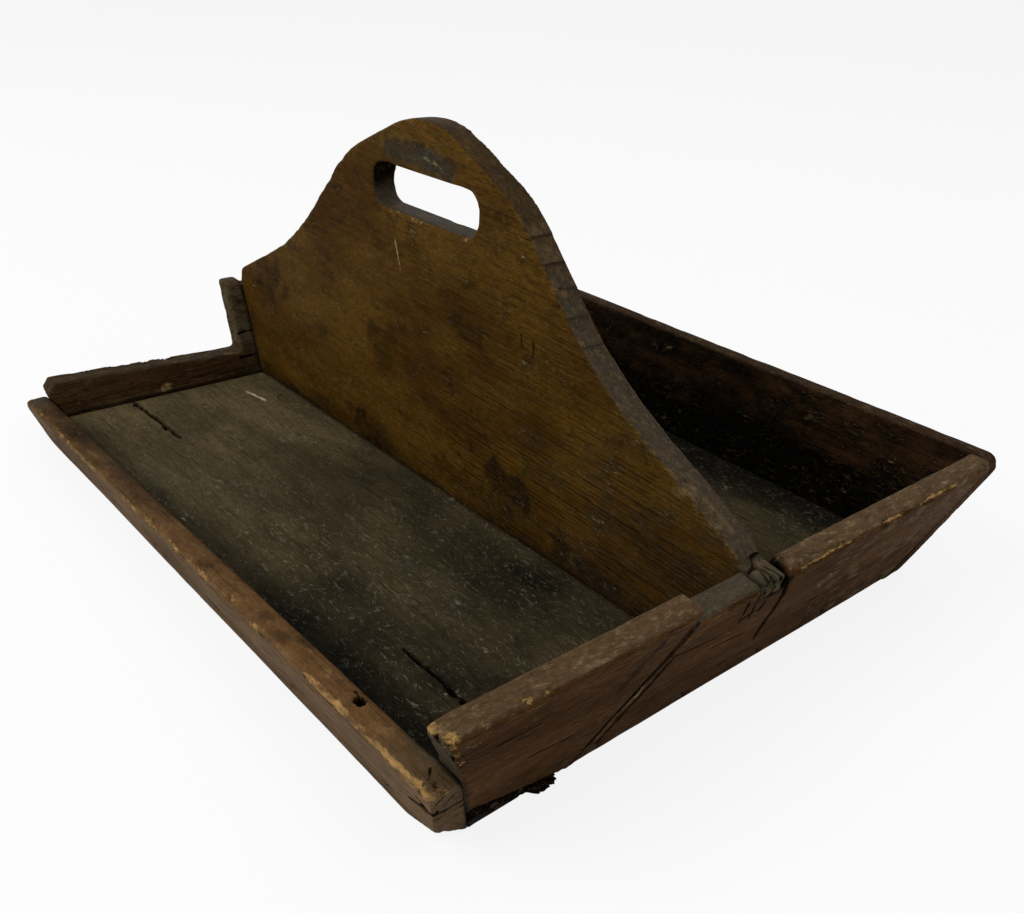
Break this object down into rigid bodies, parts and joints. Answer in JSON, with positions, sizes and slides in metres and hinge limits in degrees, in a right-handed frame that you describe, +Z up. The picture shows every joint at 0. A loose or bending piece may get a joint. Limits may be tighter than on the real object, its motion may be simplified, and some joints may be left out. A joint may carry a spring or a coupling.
{
  "type": "knife tray",
  "caption": "Splay-sided wooden knife tray with a central divider that rises to an ogee-topped handle with a hand hole, old, split and worn.",
  "frame": {"origin": "middle of the base, on the surface that the tray stands on", "axes": "+X along the divider towards the near end, +Y across towards the full-height side board, +Z up"},
  "size_m": [0.4219, 0.3351, 0.1995],
  "materials": {
    "floor_pine": "dark grey-brown grimed pine with many fine pale scratches, matt",
    "divider_pine": "amber-brown old pine with dark streaked grain, worn to a dull sheen",
    "rail_pine": "orange-brown handled pine with pale worn edges, dull sheen",
    "side_pine": "very dark brown grimed pine with a grey-brown worn top edge, matt",
    "near_end_pine": "brown worn pine with pale chipped edges, dull sheen",
    "far_end_pine": "dark brown worn pine, matt",
    "nail_iron": "dark rusted iron cut nails"
  },
  "bodies": {
    "root": {"floor_board": "floor_pine", "divider_handle": "divider_pine", "left_side_rail": "rail_pine", "right_side_board": "side_pine", "near_end_board": "near_end_pine", "near_end_left_piece": "near_end_pine", "near_end_bottom_strip": "near_end_pine", "far_end_board": "far_end_pine", "left_rail_nails": "nail_iron", "right_side_nails": "nail_iron", "near_end_nails": "nail_iron", "far_end_nails": "nail_iron", "corner_nails": "nail_iron", "divider_nails": "nail_iron"}
  },
  "joints": []
}
